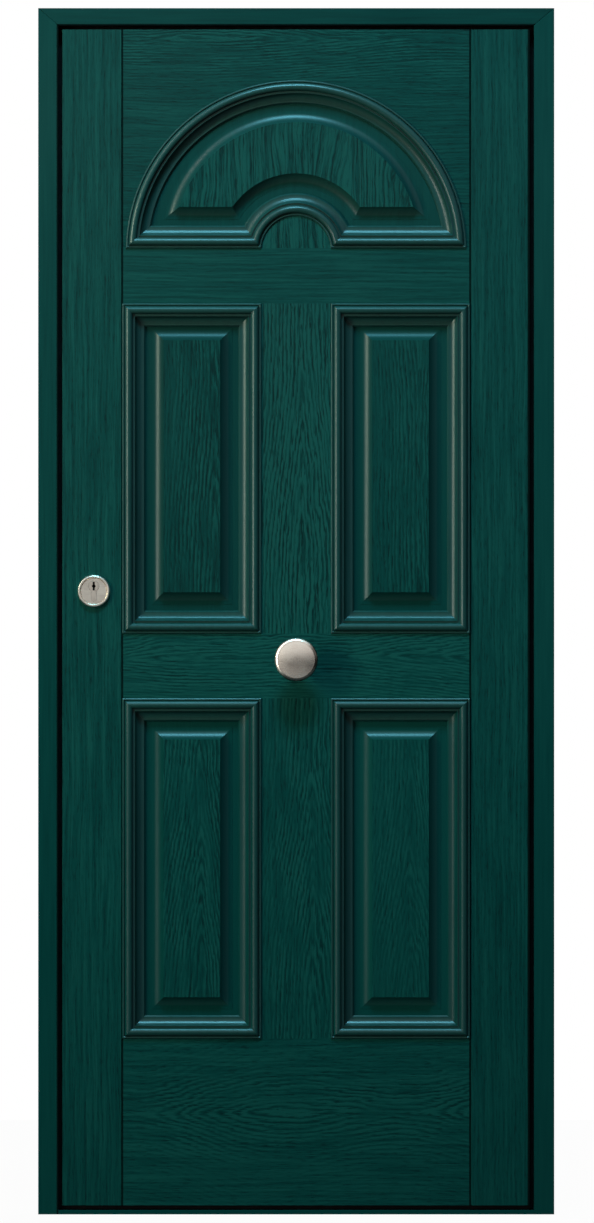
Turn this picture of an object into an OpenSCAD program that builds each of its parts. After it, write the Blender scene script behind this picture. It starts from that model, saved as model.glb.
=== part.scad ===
// Panelled timber front door in its frame: a rebated leaf with two stiles, four rails and two muntins,
// four raised rectangular panels and a half-round fan panel, each set in mitred mouldings.
// Millimetres. X runs to the right seen from outside, the outside faces -Y and Z is up.
// The origin is on the floor, in the middle of the frame's width and depth.

/* [Frame] */
// Overall width of the frame
frame_w = 900; // [885:1:930]
// Overall height of the frame
frame_h = 2104; // [2095:1:2140]
// Depth of the frame, outside to inside
frame_d = 68; // [67:0.5:72]
// Face width of a jamb
jamb_face = 35; // [34:0.5:38]
// Face height of the head
head_face = 30; // [29:0.5:33]
// Depth of the rebate that takes the lip of the leaf
rebate = 12; // [11:0.5:13]
// Height of the threshold
threshold_h = 8.5; // [7.5:0.5:9.5]
// Radius of the holes for the wall fixings
fixing_r = 4; // [3.5:0.25:4.5]

/* [Leaf] */
// Shadow gap between the frame and the face of the leaf
gap = 7; // [6:0.5:8]
// How far the face of the leaf stands back from the face of the frame
leaf_recess = 3; // [2:0.5:4]
// Depth of the front part of the leaf, ahead of its lip
front_d = 24; // [23:0.5:25]
// Room between the lip and the rebate at the sides
lip_clear = 3; // [2.5:0.5:3.5]
// Room between the lip and the rebate at the top
lip_clear_top = 4.3; // [3.5:0.1:5]
// Room between the lip and the stop of the frame, for the seal
seal_room = 4; // [3.5:0.5:4.5]
// Face width of a stile
stile_w = 104.5; // [102:0.5:108]
// Face width of the muntins, and of the hub of the fan
muntin_w = 121.4; // [116:0.2:126]
// Height of the bottom rail
bottom_rail_h = 291; // [280:1:300]
// Height of the openings of the lower panels
lower_open_h = 593.7; // [585:0.1:600]
// Height of the lock rail
lock_rail_h = 113; // [110:1:116]
// Height of the openings of the upper panels
upper_open_h = 575.8; // [570:0.1:582]
// Height of the frieze rail
frieze_h = 96.5; // [92:0.5:100]
// Thickness of the tenons
tenon_t = 16; // [14:1:18]
// Width of the V at the joints between stiles and rails
vee = 1.6; // [1.2:0.1:2]

/* [Fan] */
// Timber left between the arch and a stile
arch_margin = 6.5; // [5:0.5:9]
// How far the centre of the arch lies below the fan opening
arch_drop = 4; // [3:0.5:6]
// From the arch to the raised field, at the crown
fan_margin = 73; // [70:0.5:76]
// How far the centre of the field's arch lies above the centre of the arch
fan_rise = 9.2; // [7:0.2:11]
// From the hub to the raised field
hub_margin = 74; // [71:0.5:77]

/* [Mouldings] */
// Width of the outside mouldings
mould_w = 40; // [39.5:0.1:41]
// How far the crest stands proud of the leaf
mould_proud = 8; // [7:0.25:9]
// How far the mouldings reach into the leaf
mould_in = 14; // [13:0.5:15]
// Radius of the crest
crest_r = 7; // [6.5:0.1:7.2]
// Radius of the small bead at the outer edge
bead_r = 2; // [1.6:0.1:2.1]
// Radius of the cove
cove_r = 13; // [12.4:0.1:13.4]
// Width of the inside beads
inner_w = 22; // [20:0.5:24]
// Depth of the inside beads
inner_d = 21; // [19:0.5:22]

/* [Panels] */
// From the edge of an opening to the raised field
field_margin = 72; // [70:0.5:76]
// The same at the top of the upper panels
field_margin_top = 64; // [62:0.5:72]
// Width of the coved bevel round the field
bevel_w = 21; // [19:0.5:21.5]
// Radius of that cove
bevel_r = 23.4; // [22.5:0.1:26]
// Shoulder at the foot of the bevel
shoulder = 0.5; // [0.3:0.1:1]
// Room for the panels to move in their openings
panel_play = 1.5; // [1:0.1:2]

/* [Hinges] */
// Height of a hinge
hinge_h = 102; // [96:1:110]
// Radius of the knuckles
knuckle_r = 6.2; // [6:0.05:6.3]
// Radius of the hinge pins
pin_r = 3.5; // [3:0.1:3.8]
// Thickness of the flaps
flap_t = 2.8; // [2.5:0.1:3]
// Width of the flaps on the timber
flap_w = 30; // [28:0.5:32]
// Distance of the outer hinges from the ends of the leaf
hinge_inset = 190; // [185:1:200]
// Distance of the hinge axis from the inside face
axis_out = 6.5; // [6.5:0.1:7]

/* [Lock] */
// Height of the axis of the lock cylinder
cyl_z = 1096; // [1090:1:1102]
// Distance of the cylinder from the edge of the lip
backset = 71; // [69:0.5:73]
// Height between the cylinder and the lever
lever_drop = 92; // [90:1:94]
// Travel of the latch bolt
latch_throw = 11; // [9:0.5:12]
// Travel of the dead bolt
bolt_throw = 20; // [18:0.5:20.5]
// Length of the lever grip
lever_l = 118; // [105:1:130]
// Outer radius of the escutcheon
esc_r = 28.5; // [27.5:0.25:29.5]

/* [Knob] */
// Radius of the knob
knob_r = 37.75; // [36:0.25:39]
// Thickness of the rim of the knob
knob_t = 13; // [11:0.5:14]
// Length of the stem of the knob
knob_stem_l = 24; // [20:1:30]
// Height of the knob above the middle of the lock rail
knob_up = 11.3; // [9:0.1:13]

/* [Hidden] */
$fn = 96;
run = 0.05;
slack = 0.3;
mitre_joint = 0.08;
mitre_vee = 0.9;
half_w = frame_w / 2;
jamb_in = half_w - jamb_face;
head_in = frame_h - head_face;
head_rebate = rebate * head_face / jamb_face;
leaf_x = jamb_in - gap;
leaf_top = head_in - gap;
leaf_bot = threshold_h + gap;
rebate_x = jamb_in + rebate;
rebate_z = head_in + head_rebate;
lip_x = rebate_x - lip_clear;
lip_z = rebate_z - lip_clear_top;
y_out = -frame_d / 2;
y_in = frame_d / 2;
y_face = y_out + leaf_recess;
y_lip = y_face + front_d;
y_stop = y_lip - seal_room;
stile_x = leaf_x - stile_w;
muntin_x = muntin_w / 2;
open_w = stile_x - muntin_x;
open_cx = (stile_x + muntin_x) / 2;
z_low = leaf_bot + bottom_rail_h;
z_lock = z_low + lower_open_h;
z_up = z_lock + lock_rail_h;
z_frieze = z_up + upper_open_h;
z_fan = z_frieze + frieze_h;
arch_z = z_fan - arch_drop;
arch_r = stile_x - arch_margin;
hub_r = muntin_x;
y_panel = y_face + mould_in;
y_back = y_in - inner_d;
panel_t = y_back - y_panel;
field_h = shoulder + bevel_r - sqrt(bevel_r * bevel_r - bevel_w * bevel_w);
tenon_y = (y_face + y_in) / 2 - tenon_t / 2;
tenon_l = stile_w - 82;
tenon_in = 10;
stub = 15;
hinge_x = (lip_x + rebate_x) / 2;
hinge_y = y_in + axis_out;
hinge_zs = [leaf_bot + hinge_inset, (leaf_bot + leaf_top) / 2, leaf_top - hinge_inset];
knuckles = 5;
knuckle_gap = 0.3;
knuckle_h = (hinge_h - (knuckles - 1) * knuckle_gap) / knuckles;
screw_r = 2;
screw_head_r = 4;
screw_head_h = 2.2;
cross_l = 2.3;
cross_w = 1;
cross_d = 1.3;
flap_screw_zs = [-36, 0, 36];
leaf_screw_l = 26;
jamb_screw_l = 17;
fixing_zs = [330, 760, 1390, 1760];
fixing_y = y_stop + 15;
lock_x = -(lip_x - backset);
lever_z = cyl_z - lever_drop;
bolt_z = cyl_z - 46;
lock_y = (y_lip + y_in) / 2;
plate_t = 3;
plate_w = 20;
plate_h = 240;
plate_z = cyl_z - 46;
case_d = 88;
case_t = 16;
case_h = 182;
case_wall = 1.5;
case_x0 = -lip_x + plate_t;
bolt_t = 11;
latch_h = 28;
dead_h = 30;
euro_r = 9.1;
euro_stem_w = 8.8;
euro_drop = 27;
plug_bore_r = 8.2;
plug_r = plug_bore_r - run;
cam_t = 10;
cam_r = 14.8;
esc_h = 7;
esc_disc_h = 5.5;
esc_disc_r = esc_r - 5.6;
esc_z = cyl_z - 8.7;
inner_esc_h = 8;
cyl_y0 = y_face - esc_disc_h - 0.8;
cyl_y1 = y_in + inner_esc_h + 0.8;
rose_r = 26;
rose_h = 8;
neck_r = 9.7;
grip_r = 9;
grip_y = y_in + 50;
spindle_w = 8;
strike_w = 24;
strike_t = 3;
knob_z = z_lock + lock_rail_h / 2 + knob_up;
knob_rose_r = 25;
knob_rose_h = 5;
knob_bolt_r = 4;
knob_dome = 3;
knob_y0 = y_face - knob_rose_h - knob_stem_l;

paint = [0.05, 0.25, 0.23];
paint_dark = [0.03, 0.19, 0.18];
nickel = [0.70, 0.67, 0.62];
steel = [0.62, 0.63, 0.65];
rubber = [0.02, 0.02, 0.02];

// A box between two corners
module box(a, b) {
  translate(a) cube(b - a);
}

// A round bar along Y
module rod_y(r, y0, y1) {
  translate([0, y0, 0]) rotate([-90, 0, 0]) cylinder(r = r, h = y1 - y0);
}

// A round bar along X
module rod_x(r, x0, x1) {
  translate([x0, 0, 0]) rotate([0, 90, 0]) cylinder(r = r, h = x1 - x0);
}

// An outline in X and Z, given depth along Y
module plate_y(y0, y1) {
  translate([0, y1, 0]) rotate([90, 0, 0]) linear_extrude(height = y1 - y0) children();
}

// A section of width along Z and height towards the outside, run along X
module strip(len) {
  multmatrix([[0, 0, 1, -len / 2], [0, -1, 0, 0], [1, 0, 0, 0], [0, 0, 0, 1]])
    linear_extrude(height = len) children();
}

// A countersunk screw driven along +X, its head flush at x = 0 and
// cross-slotted; grow makes the hole for it
module screw(len, grow = 0) {
  rotate([0, 90, 0]) difference() {
    union() {
      cylinder(r = screw_r + grow, h = len);
      cylinder(r1 = screw_head_r + grow, r2 = screw_r + grow, h = screw_head_h);
    }
    if (grow == 0) {
      box([-cross_l, -cross_w / 2, -1], [cross_l, cross_w / 2, cross_d]);
      box([-cross_w / 2, -cross_l, -1], [cross_w / 2, cross_l, cross_d]);
    }
  }
}

// The outline beyond the mitre of the top right corner, on the head's side
module mitre_above() {
  polygon([[jamb_in - 2 * jamb_face, head_in - 2 * head_face],
    [half_w + jamb_face, frame_h + head_face], [jamb_in - 2 * jamb_face, frame_h + head_face]]);
}

// The outline beyond the mitre of the top right corner, on the jamb's side
module mitre_below() {
  polygon([[jamb_in - 2 * jamb_face, head_in - 2 * head_face],
    [half_w + jamb_face, head_in - 2 * head_face], [half_w + jamb_face, frame_h + head_face]]);
}

// The fine V along the mitre of the top right corner, on the front of the frame
module corner_vee() {
  side = mitre_vee * sqrt(2);
  translate([jamb_in, y_out, head_in]) rotate([0, -atan2(head_face, jamb_face), 0]) rotate([45, 0, 0])
    box([-10, -side / 2, -side / 2], [jamb_face + head_face, side / 2, side / 2]);
}

// The right jamb before its cut-outs: a rebated section with a mitred top
module jamb() {
  difference() {
    linear_extrude(height = frame_h) polygon([[jamb_in, y_out], [half_w, y_out], [half_w, y_in],
      [rebate_x, y_in], [rebate_x, y_stop], [jamb_in, y_stop]]);
    plate_y(y_out - 5, y_in + 5) mitre_above();
    corner_vee();
    for (z = fixing_zs) translate([0, fixing_y, z]) {
      rod_x(fixing_r, rebate_x - 5, half_w + 5);
      translate([rebate_x, 0, 0]) rotate([0, 90, 0])
        cylinder(r1 = fixing_r + 4, r2 = fixing_r, h = 4);
    }
  }
}

module jamb_left() {
  color(paint) difference() {
    mirror([1, 0, 0]) jamb();
    // seat of the strike plate, and the pockets behind it
    box([-rebate_x - strike_t, lock_y - strike_w / 2, plate_z - plate_h / 2],
      [-rebate_x + 5, lock_y + strike_w / 2, plate_z + plate_h / 2]);
    box([-lip_x - latch_throw - 3, lock_y - bolt_t / 2 - 2, lever_z - latch_h / 2 - 2],
      [-rebate_x + 5, lock_y + bolt_t / 2 + 2, lever_z + latch_h / 2 + 2]);
    box([-lip_x - bolt_throw - 2, lock_y - bolt_t / 2 - 2, bolt_z - dead_h / 2 - 2],
      [-rebate_x + 5, lock_y + bolt_t / 2 + 2, bolt_z + dead_h / 2 + 2]);
    strike_screw_holes();
  }
}

module jamb_right() {
  color(paint) difference() {
    jamb();
    for (z = hinge_zs) {
      box([rebate_x - 5, y_in - flap_w, z - hinge_h / 2], [rebate_x + flap_t, y_in + 5, z + hinge_h / 2]);
      for (dz = flap_screw_zs) translate([rebate_x, y_in - flap_w / 2, z + dz])
        screw(jamb_screw_l, run);
    }
  }
}

module head() {
  color(paint) difference() {
    translate([-half_w, 0, 0]) rotate([90, 0, 90]) linear_extrude(height = frame_w)
      polygon([[y_out, head_in], [y_out, frame_h], [y_in, frame_h], [y_in, rebate_z],
        [y_stop, rebate_z], [y_stop, head_in]]);
    plate_y(y_out - 5, y_in + 5) mitre_below();
    mirror([1, 0, 0]) plate_y(y_out - 5, y_in + 5) mitre_below();
    corner_vee();
    mirror([1, 0, 0]) corner_vee();
  }
}

module threshold() {
  ease = 1.5;
  color(paint_dark) translate([-jamb_in, 0, 0]) rotate([90, 0, 90]) linear_extrude(height = 2 * jamb_in)
    polygon([[y_out, 0], [y_in, 0], [y_in, threshold_h - ease], [y_in - ease, threshold_h],
      [y_out + ease, threshold_h], [y_out, threshold_h - ease]]);
}

// Holes of the strike screws
module strike_screw_holes() {
  for (s = [-1, 1]) translate([-rebate_x, lock_y, plate_z + s * (plate_h / 2 - 12)])
    mirror([1, 0, 0]) screw(jamb_screw_l, run);
}

module strike_plate() {
  color(steel) difference() {
    box([-rebate_x - strike_t, lock_y - strike_w / 2, plate_z - plate_h / 2],
      [-rebate_x, lock_y + strike_w / 2, plate_z + plate_h / 2]);
    box([-half_w, lock_y - bolt_t / 2 - 1, lever_z - latch_h / 2 - 1],
      [0, lock_y + bolt_t / 2 + 1, lever_z + latch_h / 2 + 1]);
    box([-half_w, lock_y - bolt_t / 2 - 1, bolt_z - dead_h / 2 - 1],
      [0, lock_y + bolt_t / 2 + 1, bolt_z + dead_h / 2 + 1]);
    strike_screw_holes();
  }
}

module strike_screws() {
  color(steel) for (s = [-1, 1]) translate([-rebate_x, lock_y, plate_z + s * (plate_h / 2 - 12)])
    mirror([1, 0, 0]) screw(jamb_screw_l);
}

// One knuckle of a hinge, counted from the bottom, round the hinge axis
module knuckle(i, bore_r) {
  translate([hinge_x, hinge_y, -hinge_h / 2 + i * (knuckle_h + knuckle_gap)]) difference() {
    cylinder(r = knuckle_r, h = knuckle_h);
    translate([0, 0, -1]) cylinder(r = bore_r, h = knuckle_h + 2);
  }
}

// A flap with every second knuckle; x0 and x1 are the faces of its plate
module flap(x0, x1, first) {
  difference() {
    union() {
      box([x0, y_in - flap_w, -hinge_h / 2], [x1, y_in, hinge_h / 2]);
      for (i = [first : 2 : knuckles - 1]) {
        knuckle(i, pin_r + run);
        translate([0, 0, -hinge_h / 2 + i * (knuckle_h + knuckle_gap)])
          box([x0, y_in - 1, 0], [x1, hinge_y - pin_r - 0.5, knuckle_h]);
      }
    }
    translate([hinge_x, hinge_y, -hinge_h]) cylinder(r = pin_r + run, h = 2 * hinge_h);
  }
}

module hinge_jamb_flap(z) {
  color(steel) translate([0, 0, z]) difference() {
    flap(rebate_x, rebate_x + flap_t, 0);
    for (dz = flap_screw_zs) translate([rebate_x, y_in - flap_w / 2, dz]) screw(jamb_screw_l, run);
  }
}

module hinge_jamb_flap_bottom() {
  hinge_jamb_flap(hinge_zs[0]);
}

module hinge_jamb_flap_middle() {
  hinge_jamb_flap(hinge_zs[1]);
}

module hinge_jamb_flap_top() {
  hinge_jamb_flap(hinge_zs[2]);
}

// Pins with a button head that rests on the top knuckle
module hinge_pins() {
  color(steel) for (z = hinge_zs) translate([hinge_x, hinge_y, z]) {
    translate([0, 0, -hinge_h / 2]) cylinder(r = pin_r, h = hinge_h);
    translate([0, 0, hinge_h / 2]) cylinder(r = knuckle_r - 0.7, h = 2);
    translate([0, 0, hinge_h / 2 + 2]) cylinder(r1 = knuckle_r - 0.7, r2 = knuckle_r - 2.7, h = 2);
  }
}

module hinge_jamb_screws() {
  color(steel) for (z = hinge_zs, dz = flap_screw_zs)
    translate([rebate_x, y_in - flap_w / 2, z + dz]) screw(jamb_screw_l);
}

module hinge_leaf_flap(z) {
  color(steel) translate([0, 0, z]) difference() {
    flap(lip_x - flap_t, lip_x, 1);
    for (dz = flap_screw_zs) translate([lip_x, y_in - flap_w / 2, dz])
      mirror([1, 0, 0]) screw(leaf_screw_l, run);
  }
}

module hinge_leaf_flap_bottom() {
  hinge_leaf_flap(hinge_zs[0]);
}

module hinge_leaf_flap_middle() {
  hinge_leaf_flap(hinge_zs[1]);
}

module hinge_leaf_flap_top() {
  hinge_leaf_flap(hinge_zs[2]);
}

module hinge_leaf_screws() {
  color(steel) for (z = hinge_zs, dz = flap_screw_zs)
    translate([lip_x, y_in - flap_w / 2, z + dz]) mirror([1, 0, 0]) screw(leaf_screw_l);
}

// Bottom and top of each rail's tenons
function tenon_span(k) = k == 0 ? [leaf_bot + 40, z_low - 40]
  : k == 1 ? [z_lock + tenon_in, z_up - tenon_in]
  : k == 2 ? [z_frieze + tenon_in, z_fan - tenon_in]
  : [leaf_top - 62, leaf_top - 12];

// The tenons of rail k at both ends; play makes the mortices
module tenons(k, play = 0) {
  t = tenon_span(k);
  for (s = [0, 1]) mirror([s, 0, 0])
    box([stile_x - 1, tenon_y, t[0]], [stile_x + tenon_l + play, tenon_y + tenon_t, t[1]]);
}

// The stub tenon of a muntin or of the hub, standing at height z
module stub_tenon(z0, z1) {
  box([-muntin_x + 20, tenon_y, z0], [muntin_x - 20, tenon_y + tenon_t, z1]);
}

// A square groove cutter set on its corner, run along Z
module vee_cut(x, size) {
  translate([x, y_face, -10]) linear_extrude(height = frame_h + 20) rotate(45)
    square(size * sqrt(2), center = true);
}

// The hinge-side stile before its cut-outs, with its lip and mortices
module stile() {
  difference() {
    union() {
      box([stile_x, y_lip, leaf_bot], [lip_x, y_in, lip_z]);
      box([stile_x, y_face, leaf_bot], [leaf_x, y_lip, leaf_top]);
    }
    vee_cut(stile_x, vee);
    vee_cut(leaf_x, 1);
    for (k = [0 : 3]) tenons(k, 0.5);
  }
}

// The section of the lock cylinder and its place in the stile
module euro(grow = 0) {
  circle(r = euro_r + grow);
  translate([-euro_stem_w / 2 - grow, -euro_drop + euro_stem_w / 2])
    square([euro_stem_w + 2 * grow, euro_drop - euro_stem_w / 2]);
  translate([0, -euro_drop + euro_stem_w / 2]) circle(r = euro_stem_w / 2 + grow);
}

module stile_lock() {
  color(paint) difference() {
    mirror([1, 0, 0]) stile();
    // seats of the faceplate and the lock case
    box([-lip_x - 5, lock_y - plate_w / 2, plate_z - plate_h / 2],
      [-lip_x + plate_t, lock_y + plate_w / 2, plate_z + plate_h / 2]);
    box([-lip_x, lock_y - case_t / 2, plate_z - case_h / 2],
      [case_x0 + case_d, lock_y + case_t / 2, plate_z + case_h / 2]);
    faceplate_screw_holes();
    translate([lock_x, 0, cyl_z]) plate_y(y_face - 5, y_in + 5) euro(0.5);
    translate([lock_x, 0, lever_z]) rod_y(spindle_w, lock_y - 14, y_in + 5);
  }
}

module stile_hinge() {
  color(paint) difference() {
    stile();
    for (z = hinge_zs) {
      box([lip_x - flap_t, y_in - flap_w, z - hinge_h / 2], [lip_x + 5, y_in + 5, z + hinge_h / 2]);
      for (dz = flap_screw_zs) translate([lip_x, y_in - flap_w / 2, z + dz])
        mirror([1, 0, 0]) screw(leaf_screw_l, run);
    }
  }
}

// A rail between the stiles, with its tenons and eased ends
module rail(z0, z1, k) {
  difference() {
    union() {
      box([-stile_x, y_face, z0], [stile_x, y_in, z1]);
      tenons(k);
    }
    for (s = [-1, 1]) vee_cut(s * stile_x, vee / 2);
  }
}

module bottom_rail() {
  color(paint) difference() {
    rail(leaf_bot, z_low, 0);
    stub_tenon(z_low - stub - 0.5, z_low + 1);
  }
}

module lock_rail() {
  color(paint) difference() {
    rail(z_lock, z_up, 1);
    stub_tenon(z_lock - 1, z_lock + stub + 0.5);
    stub_tenon(z_up - stub - 0.5, z_up + 1);
    translate([0, 0, knob_z]) rod_y(knob_bolt_r + slack, y_face - 5, y_in + 5);
  }
}

module frieze_rail() {
  color(paint) difference() {
    rail(z_frieze, z_fan, 2);
    stub_tenon(z_frieze - 1, z_frieze + stub + 0.5);
    stub_tenon(z_fan - stub - 0.5, z_fan + 1);
  }
}

// The top rail runs down to the frieze rail beside the arch
module top_rail() {
  color(paint) difference() {
    union() {
      rail(z_fan, leaf_top, 3);
      box([-stile_x, y_lip, leaf_top - 1], [stile_x, y_in, lip_z]);
    }
    translate([0, 0, arch_z]) rod_y(arch_r, y_face - 5, y_in + 5);
  }
}

module muntin(z0, z1) {
  box([-muntin_x, y_face, z0], [muntin_x, y_in, z1]);
  stub_tenon(z0 - stub, z1 + stub);
}

module muntin_upper() {
  color(paint) muntin(z_up, z_frieze);
}

module muntin_lower() {
  color(paint) muntin(z_low, z_lock);
}

module fan_hub() {
  color(paint) {
    intersection() {
      translate([0, 0, arch_z]) rod_y(hub_r, y_face, y_in);
      box([-hub_r - 5, y_face - 5, z_fan], [hub_r + 5, y_in + 5, z_fan + hub_r]);
    }
    stub_tenon(z_fan - stub, z_fan + 5);
  }
}

// Points along an arc from angle a0 to a1
function arc(x, y, r, a0, a1, n) = [for (i = [0 : n]) let (t = a0 + (a1 - a0) * i / n)
  [x + r * cos(t), y + r * sin(t)]];

// The outside moulding in section: small bead, crest, step, cove and a last fillet.
// Across from the edge of the opening, and up from the face of the leaf.
module moulding_section() {
  quirk = 0.6;
  ledge = 2.4;
  low = -mould_in + 4.8;
  ease = 2.4;
  crest_x = 4.5 + crest_r;
  crest_y = mould_proud - crest_r;
  step_x = crest_x + crest_r + 3;
  crest_a = asin((crest_y - quirk) / crest_r);
  cove_a = asin((low + cove_r - ledge) / cove_r);
  cove_x = step_x + 0.8 + cove_r * cos(cove_a);
  polygon(concat([[0, -mould_in]], arc(bead_r, 1, bead_r, 180, 0, 8), [[2 * bead_r, quirk]],
    arc(crest_x, crest_y, crest_r, 180 + crest_a, -crest_a, 12), [[step_x, quirk], [step_x, ledge]],
    arc(cove_x, low + cove_r, cove_r, 180 + cove_a, 270, 9),
    [[mould_w - ease, low], [mould_w, low - ease], [mould_w, -mould_in]]));
}

// The inside bead in section
module inner_section() {
  r = min(inner_w, inner_d) * 0.62;
  polygon(concat([[0, 0], [inner_w, 0]], arc(inner_w, inner_d, r, -90, -180, 8), [[0, inner_d]]));
}

// One side of a mitred frame; the section's outer edge lies on z = 0 and joint leaves a hairline at its
// mitres
module mitred_side(len, w, joint = 0) {
  half = len / 2 - joint;
  intersection() {
    strip(len) children();
    plate_y(-60, 60) polygon([[-half, 0], [half, 0], [half - w, w], [-half + w, w]]);
  }
}

// A mitred frame that fills an opening of w by h
module rect_frame(w, h, section_w) {
  translate([0, 0, -h / 2]) mitred_side(w, section_w, mitre_joint) children();
  translate([w / 2, 0, 0]) rotate([0, -90, 0]) mitred_side(h, section_w) children();
  translate([0, 0, h / 2]) rotate([0, 180, 0]) mitred_side(w, section_w, mitre_joint) children();
  translate([-w / 2, 0, 0]) rotate([0, 90, 0]) mitred_side(h, section_w) children();
}

// Where lines at distance d from the base meet those at distance d from the hub and from the arch:
// the mitres of the fan follow these curves
function fan_in_x(d) = sqrt(pow(hub_r + d, 2) - pow(arch_drop + d, 2));
function fan_out_x(d) = sqrt(pow(arch_r - d, 2) - pow(arch_drop + d, 2));

// The ground of the right base moulding of the fan, from the centre of the arch; joint leaves a hairline
// at its mitres
module fan_base_outline(w, joint = 0) {
  steps = 12;
  polygon(concat([[fan_in_x(0) + joint, arch_drop - 20]],
    [for (i = [0 : steps]) [fan_in_x(w * i / steps) + joint, arch_drop + w * i / steps]],
    [for (i = [steps : -1 : 0]) [fan_out_x(w * i / steps) - joint, arch_drop + w * i / steps]],
    [[fan_out_x(0) - joint, arch_drop - 20]]));
}

// A curved side of the fan frame, its section already placed at its radius
module fan_curve(w) {
  difference() {
    rotate([90, 0, 0]) rotate_extrude(angle = 180) children();
    box([-half_w, -60, -60], [half_w, 60, arch_drop]);
    plate_y(-60, 60) fan_base_outline(w);
    mirror([1, 0, 0]) plate_y(-60, 60) fan_base_outline(w);
  }
}

// The mitred frame of the fan: arch, hub and two base pieces
module fan_frame(w) {
  fan_curve(w) translate([arch_r, 0]) mirror([1, 0]) children();
  fan_curve(w) translate([hub_r, 0]) children();
  for (s = [0, 1]) mirror([s, 0, 0]) intersection() {
    translate([0, 0, arch_drop]) strip(2 * arch_r + 20) children();
    plate_y(-60, 60) fan_base_outline(w, mitre_joint);
  }
}

module moulding_fan() {
  color(paint_dark) translate([0, y_face, arch_z]) fan_frame(mould_w) moulding_section();
}

module inner_bead_fan() {
  color(paint_dark) translate([0, y_back, arch_z]) rotate([0, 0, 180])
    fan_frame(inner_w) inner_section();
}

// Mouldings and beads of the rectangular openings; side is -1 left, 1 right
module moulding(side, z0, h) {
  color(paint_dark) translate([side * open_cx, y_face, z0 + h / 2])
    rect_frame(open_w, h, mould_w) moulding_section();
}

module inner_bead(side, z0, h) {
  color(paint_dark) translate([side * open_cx, y_back, z0 + h / 2]) rotate([0, 0, 180])
    rect_frame(open_w, h, inner_w) inner_section();
}

module moulding_upper_left() {
  moulding(-1, z_up, upper_open_h);
}

module moulding_upper_right() {
  moulding(1, z_up, upper_open_h);
}

module moulding_lower_left() {
  moulding(-1, z_low, lower_open_h);
}

module moulding_lower_right() {
  moulding(1, z_low, lower_open_h);
}

module inner_bead_upper_left() {
  inner_bead(-1, z_up, upper_open_h);
}

module inner_bead_upper_right() {
  inner_bead(1, z_up, upper_open_h);
}

module inner_bead_lower_left() {
  inner_bead(-1, z_low, lower_open_h);
}

module inner_bead_lower_right() {
  inner_bead(1, z_low, lower_open_h);
}

// Section through a raised panel from one edge: ground, coved bevel and field.
// from is the edge of the opening, len the length of the section, over adds height and depth.
module raised_half(len, margin, over = 0) {
  difference() {
    union() {
      translate([panel_play, -panel_t - over]) square([len - panel_play, panel_t + over]);
      translate([margin - bevel_w, -1]) square([len - margin + bevel_w, field_h + over + 1]);
    }
    translate([margin - bevel_w, shoulder + bevel_r]) circle(r = bevel_r);
  }
}

// The whole section across a panel of width w with margins m0 and m1
module raised_section(w, m0, m1, over = 0) {
  translate([-w / 2, 0]) raised_half(w / 2, m0, over);
  translate([w / 2, 0]) mirror([1, 0]) raised_half(w / 2, m1, over);
}

// A raised panel for an opening of open_w by h
module raised_panel(side, z0, h, top_margin) {
  color(paint) translate([side * open_cx, y_panel, z0 + h / 2]) intersection() {
    rotate([180, 0, 0]) linear_extrude(height = h, center = true)
      raised_section(open_w, field_margin, field_margin);
    strip(open_w) raised_section(h, field_margin, top_margin, 4);
  }
}

module panel_upper_left() {
  raised_panel(-1, z_up, upper_open_h, field_margin_top);
}

module panel_upper_right() {
  raised_panel(1, z_up, upper_open_h, field_margin_top);
}

module panel_lower_left() {
  raised_panel(-1, z_low, lower_open_h, field_margin);
}

module panel_lower_right() {
  raised_panel(1, z_low, lower_open_h, field_margin);
}

// The fan panel is raised from the arch, from the hub and from the base at once
module fan_panel() {
  edge = arch_r + 40;
  field_r = arch_r - fan_margin - fan_rise;
  color(paint) translate([0, y_panel, arch_z]) intersection() {
    translate([0, 0, fan_rise]) rotate([90, 0, 0]) rotate_extrude()
      translate([edge, 0]) mirror([1, 0]) raised_half(edge, edge - field_r);
    rod_y(arch_r - panel_play, -60, 60);
    rotate([90, 0, 0]) rotate_extrude(angle = 180)
      translate([hub_r, 0]) raised_half(edge, hub_margin, 4);
    translate([0, 0, arch_drop]) strip(2 * edge) raised_half(edge, field_margin, 8);
  }
}

// The black seal lies on the lip, round both sides and the top, and its legs run down to the threshold
module perimeter_seal() {
  seal_x = (leaf_x + lip_x) / 2 + 4;
  seal_z = (leaf_top + lip_z) / 2 + 3;
  foot = threshold_h + slack;
  color(rubber) plate_y(y_stop + slack, y_lip) difference() {
    translate([-seal_x, foot]) square([2 * seal_x, seal_z - foot]);
    translate([-leaf_x, foot - 5]) square([2 * leaf_x, leaf_top - foot + 5]);
  }
}

// The drop seal below the leaf, between the legs of the other seal
module bottom_seal() {
  half = leaf_x - run;
  color(rubber) box([-half, y_lip - 14, threshold_h + slack], [half, y_lip, leaf_bot]);
}

// Holes of the faceplate screws
module faceplate_screw_holes() {
  for (s = [-1, 1]) translate([-lip_x, lock_y, plate_z + s * (plate_h / 2 - 12)])
    screw(leaf_screw_l, run);
}

// Bodies of the two bolts, with room round them; x is where the nose ends
module bolt_ways(x, room) {
  box([x, lock_y - bolt_t / 2 - room, lever_z - latch_h / 2 - room],
    [case_x0 + 12, lock_y + bolt_t / 2 + room, lever_z + latch_h / 2 + room]);
  box([x, lock_y - bolt_t / 2 - room, bolt_z - dead_h / 2 - room],
    [case_x0 + 12, lock_y + bolt_t / 2 + room, bolt_z + dead_h / 2 + room]);
}

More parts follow.
